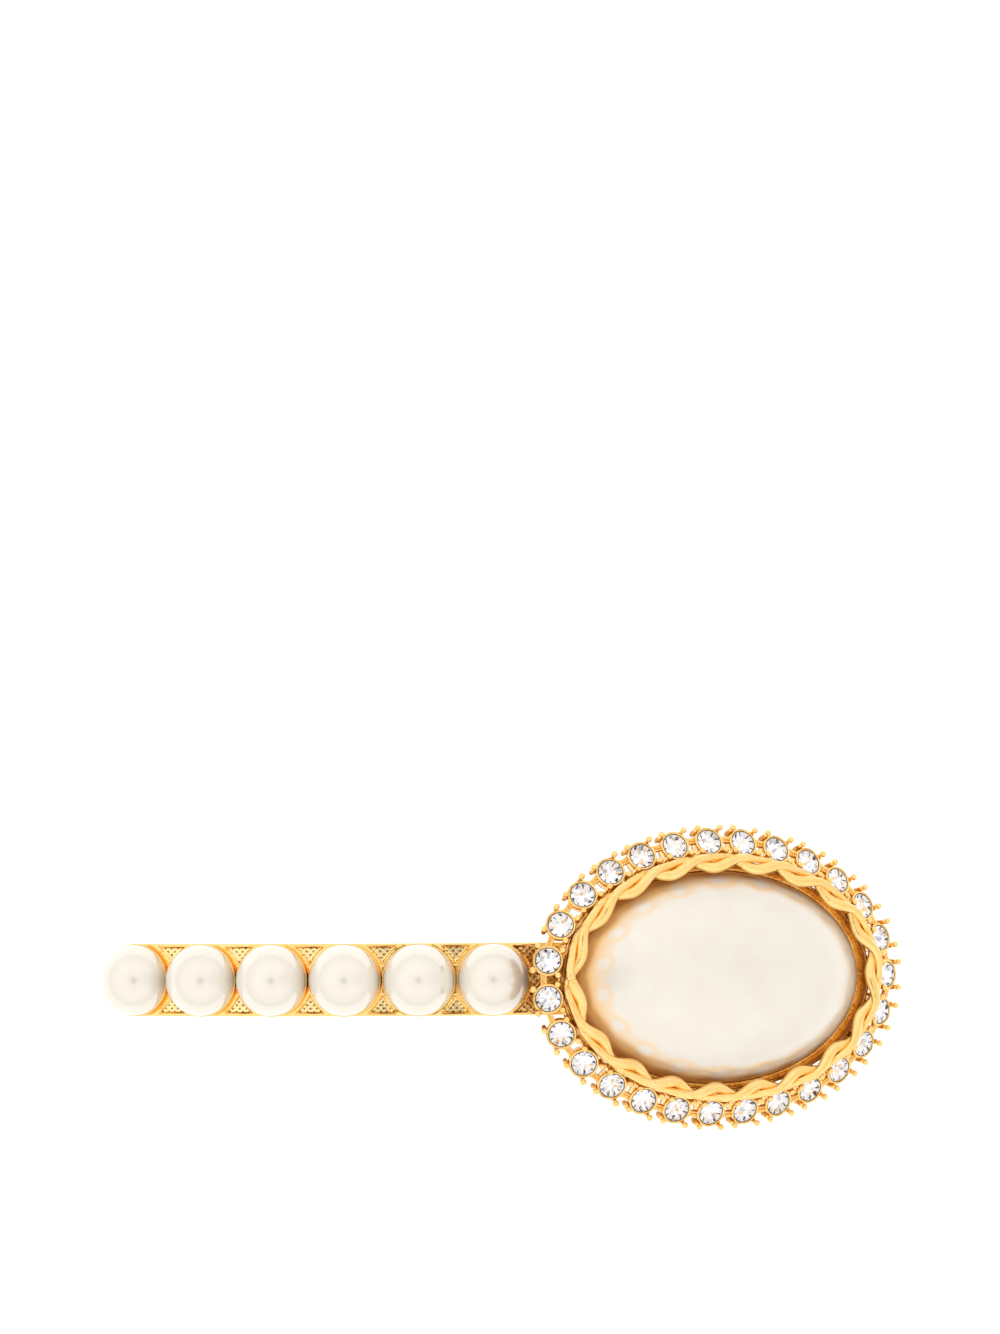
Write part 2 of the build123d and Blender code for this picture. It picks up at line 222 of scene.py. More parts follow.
def mathNode(tree, operation, first, second=None):
    node = tree.nodes.new("ShaderNodeMath")
    node.operation = operation
    for socket, value in zip(node.inputs, (first, second)):
        if value is None:
            continue
        if isinstance(value, (int, float)):
            socket.default_value = value
        else:
            tree.links.new(value, socket)
    return node.outputs[0]


def bumpNode(tree, height, distance, strength=1.0, under=None):
    node = tree.nodes.new("ShaderNodeBump")
    node.inputs["Strength"].default_value = strength
    node.inputs["Distance"].default_value = distance
    tree.links.new(height, node.inputs["Height"])
    if under:
        tree.links.new(under, node.inputs["Normal"])
    return node.outputs["Normal"]


gold = {
    "bright": (1.0, 0.69, 0.285), "deep": (0.97, 0.61, 0.20), "shade": (0.48, 0.22, 0.04),
    "rippleScale": 1.3, "grainScale": 16.0,
}


def goldFinish(name, roughLow, roughHigh, rippleDepth, grainDepth, bright=gold["bright"], deep=gold["deep"],
               shadeHeights=None):
    # two heights in millimetres over the medallion's foot for painted shade:
    # full shade at the first, none at the second
    material, tree, shader, position = startMaterial(name)
    shader.inputs["Metallic"].default_value = 1.0
    patches = noiseNode(tree, position, 0.7)
    colour = mixColours(tree, rangeNode(tree, patches, 0, 1), bright, deep)
    if shadeHeights:
        along = tree.nodes.new("ShaderNodeVectorMath")
        along.operation = "DOT_PRODUCT"
        along.inputs[1].default_value = medallion.col[2].to_3d()
        tree.links.new(position, along.inputs[0])
        foot = medallion.col[2].to_3d().dot(medallion.translation)
        blotch = rangeNode(tree, noiseNode(tree, position, 1.6, 3.0), -0.35, 0.35)
        level = mathNode(tree, "ADD", mathNode(tree, "SUBTRACT", along.outputs["Value"], foot), blotch)
        clean = rangeNode(tree, level, 0, 1, *shadeHeights)
        # painted shade: the gold mixed towards the dark shade colour by height
        paintedShade = tree.nodes.new("ShaderNodeMix")
        paintedShade.data_type = "RGBA"
        paintedShade.inputs["A"].default_value = (*gold["shade"], 1)
        tree.links.new(clean, paintedShade.inputs["Factor"])
        tree.links.new(colour, paintedShade.inputs["B"])
        colour = paintedShade.outputs["Result"]
    tree.links.new(colour, shader.inputs["Base Color"])
    wear = noiseNode(tree, position, 5.0, 4.0)
    tree.links.new(rangeNode(tree, wear, roughLow, roughHigh), shader.inputs["Roughness"])
    ripple = bumpNode(tree, noiseNode(tree, position, gold["rippleScale"], 2.0), rippleDepth)
    grain = bumpNode(tree, noiseNode(tree, position, gold["grainScale"], 2.0), grainDepth, under=ripple)
    tree.links.new(grain, shader.inputs["Normal"])
    return material


castGold = goldFinish("castGold", 0.12, 0.26, 0.00002, 0.000004)
rimGold = goldFinish("rimGold", 0.1, 0.22, 0.00006, 0.000008, shadeHeights=(4.0, 4.75))
wallGold = goldFinish("wallGold", 0.16, 0.3, 0.00014, 0.000006, shadeHeights=(5.4, 1.9))
haloGold = goldFinish("haloGold", 0.12, 0.26, 0.00002, 0.000004, shadeHeights=(1.9, 2.7))
polishedGold = goldFinish("polishedGold", 0.06, 0.14, 0.00001, 0.000001)
sheetGold = goldFinish("sheetGold", 0.22, 0.34, 0.00002, 0.000004, (0.93, 0.68, 0.34), (0.88, 0.60, 0.26))
springSteel = goldFinish("springSteel", 0.2, 0.32, 0.00001, 0.000003,
                         (0.80, 0.72, 0.60), (0.72, 0.63, 0.50))

stipple = {
    "pitch": 0.74, "depth": 0.00001, "level": 71.88, "back": 71.5, "side": 3.75, "roughen": 0.1,
    "colour": (0.99, 0.73, 0.33), "pitShare": 0.85,
    "pitShade": (0.16, 0.09, 0.02), "pitStart": 0.4, "pitEnd": 0.62,
}


def stippledGold():
    # the bar's gold, with rows of fine pits on the sunk panels; the pits are darkened with painted shade
    material, tree, shader, position = startMaterial("stippledGold")
    shader.inputs["Metallic"].default_value = 1.0
    patches = noiseNode(tree, position, 0.5)
    plain = mixColours(tree, rangeNode(tree, patches, 0, 1), gold["bright"], gold["deep"])
    parts = tree.nodes.new("ShaderNodeSeparateXYZ")
    tree.links.new(position, parts.inputs[0])
    fromX = mathNode(tree, "SUBTRACT", parts.outputs["X"], layout["arcX"])
    fromZ = mathNode(tree, "SUBTRACT", parts.outputs["Z"], layout["arcZ"])
    reach = mathNode(tree, "SQRT", mathNode(tree, "ADD", mathNode(tree, "MULTIPLY", fromX, fromX),
                                            mathNode(tree, "MULTIPLY", fromZ, fromZ)))
    sunk = rangeNode(tree, reach, 1, 0, stipple["level"] - 0.06, stipple["level"])
    inFront = mathNode(tree, "GREATER_THAN", reach, stipple["back"])
    offEdge = mathNode(tree, "LESS_THAN", mathNode(tree, "ABSOLUTE", parts.outputs["Y"]), stipple["side"])
    sunk = mathNode(tree, "MULTIPLY", sunk, mathNode(tree, "MULTIPLY", inFront, offEdge))
    angle = mathNode(tree, "ARCTAN2", fromX, fromZ)
    stray = rangeNode(tree, noiseNode(tree, position, 1.5, 2.0), -0.8, 0.8)
    alongRows = mathNode(tree, "SINE", mathNode(tree, "ADD", stray, mathNode(
        tree, "MULTIPLY", angle, tau * layout["faceRadius"] / stipple["pitch"])))
    acrossRows = mathNode(tree, "SINE", mathNode(
        tree, "MULTIPLY", parts.outputs["Y"], tau / stipple["pitch"]))
    dots = mathNode(tree, "MULTIPLY", mathNode(tree, "MULTIPLY", alongRows, acrossRows), sunk)
    wear = noiseNode(tree, position, 4.0, 4.0)
    smoothRough = rangeNode(tree, wear, 0.08, 0.16)
    tree.links.new(mathNode(tree, "ADD", smoothRough, mathNode(tree, "MULTIPLY", sunk, stipple["roughen"])),
                   shader.inputs["Roughness"])
    # paler gold on the sunk panels: partly the stippled finish, partly painted light that keeps them bright
    # between the tall pearls
    frostAndPaintedLight = tree.nodes.new("ShaderNodeMix")
    frostAndPaintedLight.data_type = "RGBA"
    frostAndPaintedLight.inputs["B"].default_value = (*stipple["colour"], 1)
    tree.links.new(sunk, frostAndPaintedLight.inputs["Factor"])
    tree.links.new(plain, frostAndPaintedLight.inputs["A"])
    # painted shade: the pits mixed towards dark brown
    shadedPits = tree.nodes.new("ShaderNodeMix")
    shadedPits.data_type = "RGBA"
    shadedPits.inputs["B"].default_value = (*stipple["pitShade"], 1)
    tree.links.new(rangeNode(tree, dots, 0, stipple["pitShare"], stipple["pitStart"], stipple["pitEnd"]),
                   shadedPits.inputs["Factor"])
    tree.links.new(frostAndPaintedLight.outputs["Result"], shadedPits.inputs["A"])
    tree.links.new(shadedPits.outputs["Result"], shader.inputs["Base Color"])
    ripple = bumpNode(tree, noiseNode(tree, position, 1.1, 2.0), 0.00001)
    tree.links.new(bumpNode(tree, dots, stipple["depth"], under=ripple), shader.inputs["Normal"])
    return material


barGold = stippledGold()

oval = {
    "halfLength": 17.6, "halfWidth": 11.7, "foot": 1.3, "girdle": 0.6, "dome": 6.0,
    "rings": 56, "segments": 192,
    "cream": (0.79, 0.74, 0.655), "warm": (0.765, 0.705, 0.61), "lustre": 0.25,
    "roughLow": 0.25, "roughHigh": 0.26, "coatRoughness": 0.26,
}

pearlCoat = {
    "cream": (0.80, 0.745, 0.655), "warm": (0.775, 0.715, 0.615), "mottle": 0.35,
    "roughLow": 0.12, "roughHigh": 0.18, "lustre": 0.3, "coat": 0.4, "coatRoughness": 0.12, "coatIor": 1.5,
}


# painted reflection of the gold rim and bezel on the oval's coat at its edge: a warm band with a row of
# scallops inside it, placed in shares of the oval's size; scallopDepth is in millimetres
rimReflectionPaint = {
    "amber": (0.92, 0.54, 0.17), "centreShift": 0.8, "bandStart": 0.87, "bandEnd": 0.98, "bandDepth": 0.9,
    "scallops": 19, "scallopPlace": 0.905, "scallopDepth": 0.76, "scallopSpan": 0.78, "ringWidth": 0.38,
    "ringShare": 0.4,
}


def paintedRimReflection(tree, position, colour):
    # painted reflection: amber band and scallops mixed into the pearl's colour near its edge
    foot = tree.nodes.new("ShaderNodeVectorMath")
    foot.operation = "SUBTRACT"
    foot.inputs[1].default_value = (
        medallion.translation + medallion.col[0].to_3d() * rimReflectionPaint["centreShift"])
    tree.links.new(position, foot.inputs[0])
    spread = []
    for column, half in ((0, oval["halfLength"]), (1, oval["halfWidth"])):
        along = tree.nodes.new("ShaderNodeVectorMath")
        along.operation = "DOT_PRODUCT"
        along.inputs[1].default_value = medallion.col[column].to_3d() / half
        tree.links.new(foot.outputs[0], along.inputs[0])
        spread.append(along.outputs["Value"])
    reach = mathNode(tree, "SQRT", mathNode(tree, "ADD", mathNode(tree, "POWER", spread[0], 2),
                                            mathNode(tree, "POWER", spread[1], 2)))
    wobble = rangeNode(tree, noiseNode(tree, position, 0.4, 1.0), -0.01, 0.01)
    reach = mathNode(tree, "ADD", reach, wobble)
    turn = mathNode(tree, "ARCTAN2", spread[1], spread[0])
    wave = mathNode(tree, "SINE", mathNode(tree, "MULTIPLY", turn, rimReflectionPaint["scallops"] / 2))
    aside = mathNode(tree, "DIVIDE", wave, rimReflectionPaint["scallopSpan"])
    across = tree.nodes.new("ShaderNodeVectorMath")
    across.operation = "LENGTH"
    tree.links.new(foot.outputs[0], across.inputs[0])
    span = mathNode(tree, "DIVIDE", across.outputs["Value"], reach)  # millimetres to the edge this way
    inward = mathNode(tree, "MULTIPLY", mathNode(tree, "SUBTRACT", reach, rimReflectionPaint["scallopPlace"]), span)
    inward = mathNode(tree, "DIVIDE", inward, rimReflectionPaint["scallopDepth"])
    lobe = mathNode(tree, "SQRT", mathNode(tree, "ADD", mathNode(tree, "POWER", aside, 2),
                                           mathNode(tree, "POWER", inward, 2)))
    off = mathNode(tree, "DIVIDE", mathNode(tree, "SUBTRACT", lobe, 1), rimReflectionPaint["ringWidth"])
    ring = mathNode(tree, "EXPONENT", mathNode(tree, "MULTIPLY", mathNode(tree, "POWER", off, 2), -1))
    band = rangeNode(tree, reach, 0, rimReflectionPaint["bandDepth"],
                     rimReflectionPaint["bandStart"], rimReflectionPaint["bandEnd"])
    outside = rangeNode(tree, lobe, 0, 1, 0.5, 1.15)
    share = mathNode(tree, "MAXIMUM", mathNode(tree, "MULTIPLY", band, outside),
                     mathNode(tree, "MULTIPLY", ring, rimReflectionPaint["ringShare"]))
    node = tree.nodes.new("ShaderNodeMix")
    node.data_type = "RGBA"
    node.inputs["B"].default_value = (*rimReflectionPaint["amber"], 1)
    tree.links.new(share, node.inputs["Factor"])
    tree.links.new(colour, node.inputs["A"])
    return node.outputs["Result"]


def pearlFinish(name, cream, warm, lustre, roughLow, roughHigh, coatRough, rimReflected=False):
    material, tree, shader, position = startMaterial(name)
    shader.inputs["Metallic"].default_value = lustre
    clouds = noiseNode(tree, position, pearlCoat["mottle"], 3.0)
    colour = mixColours(tree, rangeNode(tree, clouds, 0, 1), cream, warm)
    if rimReflected:
        colour = paintedRimReflection(tree, position, colour)
    tree.links.new(colour, shader.inputs["Base Color"])
    fine = noiseNode(tree, position, 6.0, 3.0)
    tree.links.new(rangeNode(tree, fine, roughLow, roughHigh), shader.inputs["Roughness"])
    tree.links.new(bumpNode(tree, noiseNode(tree, position, 2.5, 2.0), 0.000004), shader.inputs["Normal"])
    shader.inputs["Coat Weight"].default_value = pearlCoat["coat"]
    shader.inputs["Coat Roughness"].default_value = coatRough
    shader.inputs["Coat IOR"].default_value = pearlCoat["coatIor"]
    return material


nacre = pearlFinish("nacre", pearlCoat["cream"], pearlCoat["warm"], pearlCoat["lustre"],
                    pearlCoat["roughLow"], pearlCoat["roughHigh"], pearlCoat["coatRoughness"])
ovalNacre = pearlFinish("ovalNacre", oval["cream"], oval["warm"], oval["lustre"],
                        oval["roughLow"], oval["roughHigh"], oval["coatRoughness"], rimReflected=True)


def crystalFinish():
    material, tree, shader, position = startMaterial("cutCrystal")
    tree.links.new(mixColours(tree, noiseNode(tree, position, 1.5), (0.98, 0.98, 1.0), (0.93, 0.94, 0.98)),
                   shader.inputs["Base Color"])
    shader.inputs["Roughness"].default_value = 0.0
    shader.inputs["IOR"].default_value = 1.4
    shader.inputs["Transmission Weight"].default_value = 1.0
    return material


# painted reflections: colours painted on the foil for what the facets reflect through the clear crown, and
# how much of the stone each takes
foil = {
    "glow": 0.3, "sparkScale": 3.0, "greyShare": 0.1, "amberShare": 0.08,
    "grey": (0.55, 0.55, 0.58), "white": (0.92, 0.92, 0.93), "amber": (0.85, 0.58, 0.32),
    "tick": (0.02, 0.02, 0.03), "ticks": 9, "tickInside": 0.6, "tickOutside": 0.86, "tickWidth": 0.72,
}


def foilFinish():
    material, tree, shader, position = startMaterial("foilPaintedSparkle")
    shader.inputs["Metallic"].default_value = 0.35
    # painted light: the foil glows with its own painted colours
    shader.inputs["Emission Strength"].default_value = foil["glow"]
    sparks = tree.nodes.new("ShaderNodeTexVoronoi")
    sparks.inputs["Scale"].default_value = foil["sparkScale"]
    tree.links.new(position, sparks.inputs["Vector"])
    pick = tree.nodes.new("ShaderNodeSeparateColor")
    tree.links.new(sparks.outputs["Color"], pick.inputs[0])
    paintedGlints = tree.nodes.new("ShaderNodeValToRGB")
    paintedGlints.color_ramp.interpolation = "CONSTANT"
    first, last = paintedGlints.color_ramp.elements
    first.position, first.color = 0.0, (*foil["grey"], 1)
    last.position, last.color = 1 - foil["amberShare"], (*foil["amber"], 1)
    paintedGlints.color_ramp.elements.new(foil["greyShare"]).color = (*foil["white"], 1)
    tree.links.new(pick.outputs[0], paintedGlints.inputs["Fac"])
    # painted reflections: dark ticks in a ring, from each stone's own facet map
    facets = tree.nodes.new("ShaderNodeUVMap")
    facets.uv_map = "facetMap"
    parts = tree.nodes.new("ShaderNodeSeparateXYZ")
    tree.links.new(facets.outputs[0], parts.inputs[0])
    reach = mathNode(tree, "SQRT", mathNode(tree, "ADD", mathNode(tree, "POWER", parts.outputs["X"], 2),
                                            mathNode(tree, "POWER", parts.outputs["Y"], 2)))
    turn = mathNode(tree, "ARCTAN2", parts.outputs["Y"], parts.outputs["X"])
    stray = rangeNode(tree, noiseNode(tree, position, 1.2, 1.0), -1.6, 1.6)
    spokes = mathNode(tree, "COSINE", mathNode(
        tree, "ADD", stray, mathNode(tree, "MULTIPLY", turn, foil["ticks"])))
    spokes = mathNode(tree, "GREATER_THAN", spokes, foil["tickWidth"])
    edgeStray = rangeNode(tree, noiseNode(tree, position, 2.6, 1.0), -0.1, 0.1)
    place = mathNode(tree, "ADD", reach, edgeStray)
    inside = mathNode(tree, "GREATER_THAN", place, foil["tickInside"])
    outside = mathNode(tree, "LESS_THAN", place, foil["tickOutside"])
    tick = mathNode(tree, "MULTIPLY", spokes, mathNode(tree, "MULTIPLY", inside, outside))
    dark = tree.nodes.new("ShaderNodeMix")
    dark.data_type = "RGBA"
    dark.inputs["B"].default_value = (*foil["tick"], 1)
    tree.links.new(tick, dark.inputs["Factor"])
    tree.links.new(paintedGlints.outputs["Color"], dark.inputs["A"])
    tree.links.new(dark.outputs["Result"], shader.inputs["Base Color"])
    tree.links.new(dark.outputs["Result"], shader.inputs["Emission Color"])
    tree.links.new(rangeNode(tree, noiseNode(tree, position, 9.0), 0.02, 0.08), shader.inputs["Roughness"])
    return material


def girdleShadeFinish():
    material, tree, shader, position = startMaterial("girdleGapShade")
    # painted shade: a near-black band round the girdle stands in for the shadowed gap by the collar
    shade = mixColours(tree, noiseNode(tree, position, 3.0), (0.05, 0.045, 0.045), (0.12, 0.09, 0.07))
    tree.links.new(shade, shader.inputs["Base Color"])
    shader.inputs["Metallic"].default_value = 0.6
    tree.links.new(rangeNode(tree, noiseNode(tree, position, 8.0), 0.2, 0.4), shader.inputs["Roughness"])
    return material


cutCrystal = crystalFinish()
foilPaintedSparkle = foilFinish()
girdleGapShade = girdleShadeFinish()
print("finishes made")

# front bar
bar = {
    "width": 8.0, "thickness": 1.2, "panelDepth": 0.25, "border": 0.4, "ease": 0.14,
    "seatRadius": 4.42, "seatLift": 0.6, "stepAlong": 0.14, "stepAcross": 0.1, "edgeRound": 0.12,
    "endStart": 0.3, "endStop": 0.44, "cornerRound": 0.45, "backEase": 0.12, "backInset": 0.1,
}


def easeStep(value, low, high):
    share = min(max((value - low) / (high - low), 0), 1)
    return share * share * (3 - 2 * share)


def barHeight(place, across):
    # height above the sunk panels' floor
    edge = bar["width"] / 2 - abs(across)
    level = bar["panelDepth"] * (1 - easeStep(edge, bar["border"] - bar["ease"] / 2,
                                              bar["border"] + bar["ease"] / 2))
    startEdge = place - layout["barStart"]
    level = max(level, bar["panelDepth"] * (1 - easeStep(startEdge, bar["endStart"], bar["endStop"])))
    for index in range(layout["pearlCount"]):
        offset = place - layout["firstPearl"] - layout["pearlPitch"] * index
        if abs(offset) > bar["seatRadius"] + 0.2:
            continue
        distance = math.hypot(offset, across)
        sag = offset * offset / (2 * layout["faceRadius"])
        top = bar["panelDepth"] + layout["seatHeight"] * bar["seatLift"] + sag
        ring = top * (1 - easeStep(distance, bar["seatRadius"] - bar["ease"], bar["seatRadius"]))
        level = max(level, ring)
    drop = bar["edgeRound"] - min(edge, bar["edgeRound"])
    return level - (bar["edgeRound"] - math.sqrt(max(bar["edgeRound"] ** 2 - drop ** 2, 0)))


def onArc(radius, angle, across):
    return (layout["arcX"] + radius * math.sin(angle), across, layout["arcZ"] + radius * math.cos(angle))


barShape = Shape()
floorRadius = layout["faceRadius"] - bar["panelDepth"]
alongSteps = round((layout["barEnd"] - layout["barStart"]) / bar["stepAlong"])
acrossSteps = round(bar["width"] / bar["stepAcross"])
barRows = []
for i in range(alongSteps + 1):
    place = layout["barStart"] + (layout["barEnd"] - layout["barStart"]) * i / alongSteps
    endGap = min(place - layout["barStart"], layout["barEnd"] - place)
    short = max(bar["cornerRound"] - endGap, 0)
    inset = bar["cornerRound"] - math.sqrt(max(bar["cornerRound"] ** 2 - short ** 2, 0))
    halfWidth = bar["width"] / 2 - inset
    angle = place / layout["faceRadius"]
    row = []
    for j in range(acrossSteps + 1):
        across = -halfWidth + 2 * halfWidth * j / acrossSteps
        radius = floorRadius + barHeight(place, across * bar["width"] / 2 / halfWidth)
        row.append(onArc(radius, angle, across))
    back = layout["faceRadius"] - bar["thickness"]
    innerWidth = halfWidth - bar["backInset"]
    for across, lift in ((halfWidth, bar["backEase"]), (innerWidth, 0),
                         (-innerWidth, 0), (-halfWidth, bar["backEase"])):
        radius = back + lift
        row.append(onArc(radius, angle, across))
    barRows.append(row)
barShape.grid(barRows, capStart=True, capEnd=True)
makePiece("frontBar", barShape, [barGold], nodes=["front_bar"], sharpAngle=50)
print("bar made")

# half-round pearls in their cups
cup = {"radius": 4.03, "wall": 0.1, "rimHeight": 0.95, "floor": 0.35, "segments": 96}
halfPearl = {"radius": 3.917, "sideHeight": 0.65, "baseLift": 0.35, "rings": 40, "segments": 96}

for index in range(layout["pearlCount"]):
    seat = arcMatrix(layout["firstPearl"] + layout["pearlPitch"] * index,
                     layout["faceRadius"] + layout["seatHeight"])
    cupShape = Shape()
    r, h, w = cup["radius"], cup["rimHeight"], cup["wall"]
    profile = [(0.01, 0), (r - w - 0.08, 0), (r - w, 0.05), (r - 0.03, h - 0.1), (r, h - 0.05),
               (r - 0.03, h), (r - w, h), (r - w, cup["floor"]), (0.01, cup["floor"])]
    cupShape.lathe(profile, cup["segments"], place=seat)
    makePiece(f"pearlCup{index + 1}", cupShape, [polishedGold],
              nodes=[f"pearl_cup_{index + 1}"], sharpAngle=60)
    pearlShape = Shape()
    r = halfPearl["radius"]
    base = halfPearl["baseLift"]
    profile = [(0.01, base), (r - 0.1, base), (r - 0.02, base + 0.1), (r, base + halfPearl["sideHeight"])]
    for ring in range(1, halfPearl["rings"]):
        turn = math.pi / 2 * ring / halfPearl["rings"]
        profile.append((r * math.cos(turn), base + halfPearl["sideHeight"] + r * math.sin(turn)))
    profile.append((0.01, base + halfPearl["sideHeight"] + r))
    pearlShape.lathe(profile, halfPearl["segments"], place=seat)
    makePiece(f"halfPearl{index + 1}", pearlShape, [nacre],
              nodes=[f"pearl_{index + 1}"], sharpAngle=60)
print("pearls made")

# oval pearl, bezel and twisted rim
ovalShape = Shape()
ovalRows = []
for lift, share in ((0, 0.98), (0.05, 1.0), (oval["girdle"], 1.0)):
    ovalRows.append((oval["foot"] + lift, share))
for ring in range(1, oval["rings"]):
    turn = math.pi / 2 * ring / oval["rings"]
    ovalRows.append((oval["foot"] + oval["girdle"] + oval["dome"] * math.sin(turn), math.cos(turn)))
ovalRows.append((oval["foot"] + oval["girdle"] + oval["dome"], 0.001))
skin = []
for height, share in ovalRows:
    skin.append([(oval["halfLength"] * share * math.cos(tau * i / oval["segments"]),
                  oval["halfWidth"] * share * math.sin(tau * i / oval["segments"]), height)
                 for i in range(oval["segments"])])
ovalShape.grid(skin, place=medallion, capStart=True, capEnd=True)
makePiece("ovalPearl", ovalShape, [ovalNacre], nodes=["oval_pearl"], sharpAngle=60)

bezel = {"halfLength": 17.65, "halfWidth": 11.75, "foot": 1.3, "top": 4.0, "segments": 256}
bezelSection = [
    (0.0, bezel["foot"]), (0.66, bezel["foot"]), (0.70, 1.38), (0.70, 3.85), (0.66, 3.96),
    (0.56, bezel["top"]),
    (0.44, bezel["top"]), (0.38, 3.9), (0.36, 3.6), (0.40, 3.0), (0.40, 2.4), (0.36, 2.16), (0.30, 2.08),
    (0.24, 2.16), (0.14, 2.2), (0.04, 2.17), (-0.02, 2.08), (-0.01, 1.95),
]
bezelTrack = ellipseTrack(bezel["halfLength"], bezel["halfWidth"])[0]
bezelRows = []
for i in range(bezel["segments"]):
    spot, along, outward = bezelTrack(i / bezel["segments"])
    bezelRows.append([spot + outward * reach + Vector((0, 0, height)) for reach, height in bezelSection])
bezelShape = Shape()
bezelShape.grid(bezelRows, closedRows=True, place=medallion)
makePiece("ovalBezel", bezelShape, [wallGold], nodes=["oval_bezel"], sharpAngle=50)

rim = {
    "halfLength": 18.55, "halfWidth": 12.7, "height": 4.71, "halfTurns": 19, "stepsPerHalfTurn": 22,
    "swing": 0.54, "crossingOut": 0.38, "rise": 0.36, "radius": 0.49, "innerSwell": 0.2, "outerPinch": 0.16,
    "segments": 28, "grooves": 7, "grooveDepth": 0.07, "grooveShift": 0.15,
    "wide": 1.04, "wideSwell": 0.08, "tall": 0.94, "dents": 60, "strandDents": 7.0, "dentDepth": 0.06,
}
rimTrack, rimRun = ellipseTrack(rim["halfLength"], rim["halfWidth"])
for strand in range(2):
    path, radii, flat, ups, grooves = [], [], [], [], []
    steps = rim["halfTurns"] * rim["stepsPerHalfTurn"]
    for step in range(steps + 1):
        share = step / steps
        turn = math.pi * (rim["halfTurns"] * share + strand + 0.5)
        spot, along, outward = rimTrack(0.5 + share)
        inner = -math.cos(turn)
        aside = rim["swing"] * math.cos(turn) + rim["crossingOut"] * math.sin(turn) ** 2
        path.append(spot + outward * aside
                    + Vector((0, 0, rim["height"] + rim["rise"] * math.sin(turn))))
        dent = noise.noise(Vector((share * rim["dents"], strand * rim["strandDents"], 0)))
        swell = rim["innerSwell"] * max(inner, 0) - rim["outerPinch"] * max(-inner, 0)
        radii.append(rim["radius"] * (1 + swell + rim["dentDepth"] * dent))
        flat.append((rim["wide"] + rim["wideSwell"] * inner, rim["tall"]))
        ups.append(Vector((0, 0, 1)))
        grooves.append(rim["grooveDepth"] * max(rim["grooveShift"] - inner, 0))
    strandShape = Shape()
    strandShape.tube(path, radii, rim["segments"], ups, place=medallion, flat=flat,
                     groove=grooves, grooveCount=rim["grooves"])
    makePiece(f"rimStrand{strand + 1}", strandShape, [rimGold], nodes=[f"rim_strand_{strand + 1}"])
print("oval pearl and rim made, rim length", round(rimRun, 2))

# crystal halo
halo = {
    "halfLength": 21.0, "halfWidth": 14.98, "stones": 27, "height": 3.0, "tilt": 25.3,
    "collar": 1.7, "seat": 1.42, "collarTop": 0.14, "depth": 1.75, "footRadius": 1.5,
    "prongReach": 1.97, "prongRadius": 0.29, "prongTop": 0.65, "prongFoot": 1.3, "ball": 0.385,
    "linkLength": 1.5, "linkOut": 0.3, "bead": 0.1, "archWire": 0.17,
    "archHalf": 0.85, "archIn": 0.6, "archBow": 0.8, "archDrop": 0.3, "archDip": 0.2,
    "galleryInset": 2.2, "galleryFoot": 1.3, "galleryTop": 2.4, "strutWidth": 0.9, "strutReach": 2.3,
}
haloTrack, haloRun = ellipseTrack(halo["halfLength"], halo["halfWidth"])


def haloMatrix(share):
    # X along the halo, Y inward, Z leaning outward with the stones
    spot, along, outward = haloTrack(share)
    lean = math.radians(halo["tilt"])
    facing = Vector((0, 0, math.cos(lean))) + outward * math.sin(lean)
    inward = facing.cross(along)
    spot = spot + Vector((0, 0, halo["height"]))
    rows = [(along[k], inward[k], facing[k], spot[k]) for k in range(3)]
    return medallion @ Matrix((*rows, (0, 0, 0, 1)))


haloShape = Shape()
dice = random.Random(7)
cupProfile = [
    (0.01, -halo["depth"]), (halo["footRadius"] - 0.1, -halo["depth"]),
    (halo["footRadius"], -halo["depth"] + 0.1),
    (1.66, -0.7), (halo["collar"], -0.5), (halo["collar"], 0.0), (1.68, 0.08), (1.62, 0.13),
    (1.54, halo["collarTop"]), (1.47, 0.12), (halo["seat"], 0.06), (halo["seat"], -0.1),
    (0.9, -0.55), (0.01, -1.2),
]
ballRings = 7
for index in range(halo["stones"]):
    place = haloMatrix(index / halo["stones"])
    haloShape.lathe(cupProfile, 40, place=place)
    for corner in range(4):
        turn = math.radians(45 + 90 * corner + dice.uniform(-3, 3))
        reach = halo["prongReach"] + dice.uniform(-0.03, 0)
        ball = halo["ball"] * dice.uniform(0.92, 1)
        top = halo["prongTop"] + dice.uniform(-0.05, 0)
        profile = [(0.01, -halo["prongFoot"]), (halo["prongRadius"] * 0.8, -halo["prongFoot"] + 0.02),
                   (halo["prongRadius"] + 0.03, -0.9), (halo["prongRadius"] + 0.02, -0.4),
                   (halo["prongRadius"], 0.0), (halo["prongRadius"] - 0.01, top - ball * 0.8)]
        for ring in range(1, ballRings + 1):
            lift = math.radians(-42 + 128 * ring / ballRings)
            profile.append((max(ball * math.cos(lift), 0.01), top + ball * math.sin(lift)))
        offset = Matrix.Translation((reach * math.cos(turn), reach * math.sin(turn), 0))
        haloShape.lathe(profile, 14, place=place @ offset)

